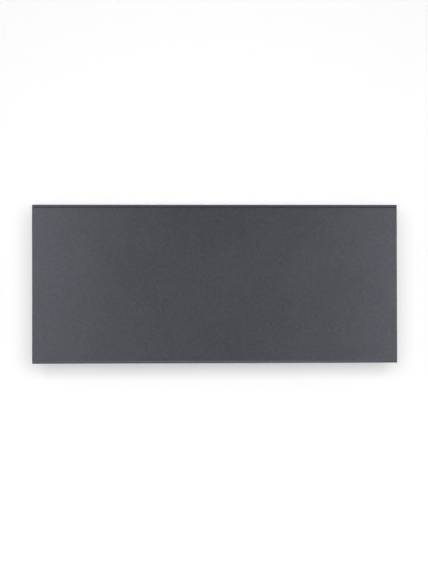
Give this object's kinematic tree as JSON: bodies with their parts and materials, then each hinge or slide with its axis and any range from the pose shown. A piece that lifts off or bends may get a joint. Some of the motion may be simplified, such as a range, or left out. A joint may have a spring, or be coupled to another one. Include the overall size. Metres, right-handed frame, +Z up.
{
  "type": "electric panel radiator",
  "caption": "Slim wall-hung electric convector radiator: flat folded steel front, slotted top grille, finned element, side rocker switch, push buttons and a tilt-out bracket.",
  "frame": {"origin": "middle of the four wall screws, on the wall face of the bracket", "axes": "+X to the right seen from the room, +Y from the room into the wall, +Z up"},
  "size_m": [0.775, 0.084, 0.337],
  "materials": {
    "front_coat": "fine satin powder coat, anthracite",
    "grille_coat": "fine satin powder coat, dark anthracite",
    "casing_coat": "fine satin powder coat, anthracite",
    "bracket_coat": "matt powder coat",
    "spring_steel": "blued spring steel",
    "zinc_screw": "zinc plated",
    "dark_screw": "black zinc plated",
    "galvanised": "galvanised sheet",
    "shield_foil": "bright rolled sheet",
    "fin_aluminium": "mill finish",
    "sheath_steel": "drawn tube, heat tinted",
    "bush_ceramic": "unglazed steatite",
    "cutout_body": "moulded phenolic",
    "cutout_cap": "drawn cap",
    "board_laminate": "solder-masked laminate",
    "white_nylon": "natural nylon",
    "relay_case": "moulded case",
    "transformer_case": "taped winding and potted core",
    "capacitor_sleeve": "shrink sleeve",
    "terminal_green": "moulded nylon",
    "gland_nylon": "moulded nylon",
    "blade_brass": "tinned brass",
    "switch_plastic": "moulded",
    "rocker_plastic": "moulded",
    "sensor_epoxy": "dipped epoxy",
    "mains_wire": "insulated",
    "element_lead": "glass-fibre sleeving",
    "earth_lead": "insulated",
    "sensor_lead": "twin flat lead",
    "ribbon_lead": "flat ribbon lead",
    "housing_plastic": "moulded",
    "fascia_plastic": "fine moulded grain",
    "window_tint": "tinted",
    "display_plastic": "module face",
    "radio_can": "tinned shield can",
    "tact_plastic": "moulded",
    "button_plastic": "fine moulded grain"
  },
  "bodies": {
    "wall_mount": {"wall_bracket": "bracket_coat", "snap_spring_left": "spring_steel", "snap_spring_right": "spring_steel", "spring_rivets": "zinc_screw"},
    "heater": {"front_panel": "front_coat", "front_clips": "galvanised", "front_spacers": "white_nylon", "front_screws": "dark_screw", "rear_casing": "casing_coat", "top_grille": "grille_coat", "left_end_plate": "casing_coat", "right_end_plate": "casing_coat", "partition_plate": "galvanised", "heat_shield": "shield_foil", "casing_screws": "dark_screw", "element_fins": "fin_aluminium", "element_core": "sheath_steel", "element_pins": "sheath_steel", "element_bracket": "galvanised", "element_bush_left": "bush_ceramic", "element_bush_right": "bush_ceramic", "thermal_cutout": "cutout_body", "cutout_cap": "cutout_cap", "power_board": "board_laminate", "board_pillars": "white_nylon", "board_screws": "zinc_screw", "relay": "relay_case", "transformer": "transformer_case", "capacitor": "capacitor_sleeve", "board_terminals": "terminal_green", "terminal_block": "white_nylon", "terminal_screws": "zinc_screw", "cable_gland": "gland_nylon", "earth_screw": "zinc_screw", "earth_tag": "blade_brass", "rocker_housing": "switch_plastic", "switch_terminals": "blade_brass", "room_sensor": "sensor_epoxy", "sensor_holder": "white_nylon", "supply_wires": "mains_wire", "switched_wires": "mains_wire", "element_wires": "element_lead", "earth_wire": "earth_lead", "sensor_wire": "sensor_lead", "display_cable": "ribbon_lead", "control_housing": "housing_plastic", "control_fascia": "fascia_plastic", "display_window": "window_tint", "display_module": "display_plastic", "control_board": "board_laminate", "wifi_module": "radio_can", "tactile_switches": "tact_plastic", "control_screws": "dark_screw"},
    "rocker": {"rocker": "rocker_plastic"},
    "minus_button": {"button_minus": "button_plastic", "plunger_minus": "tact_plastic"},
    "ok_button": {"button_ok": "button_plastic", "plunger_ok": "tact_plastic"},
    "plus_button": {"button_plus": "button_plastic", "plunger_plus": "tact_plastic"}
  },
  "joints": [
    {"name": "heater_tilt", "type": "hinge", "parent": "wall_mount", "child": "heater", "pos_m": [0, -0.0244, -0.1456], "axis": [1, 0, 0], "range_deg": [0, 30], "deforming": ["snap_spring_left", "snap_spring_right"]},
    {"name": "rocker_flip", "type": "hinge", "parent": "heater", "child": "rocker", "pos_m": [0.38154, -0.047, -0.0435], "axis": [0, 1, 0], "range_deg": [0, 16]},
    {"name": "minus_press", "type": "slide", "parent": "heater", "child": "minus_button", "axis": [0, 0, -1], "range_m": [0, 0.0005], "stiffness_N_per_m": 2000, "springref_m": -0.0002},
    {"name": "ok_press", "type": "slide", "parent": "heater", "child": "ok_button", "axis": [0, 0, -1], "range_m": [0, 0.0005], "stiffness_N_per_m": 2000, "springref_m": -0.0002},
    {"name": "plus_press", "type": "slide", "parent": "heater", "child": "plus_button", "axis": [0, 0, -1], "range_m": [0, 0.0005], "stiffness_N_per_m": 2000, "springref_m": -0.0002}
  ]
}
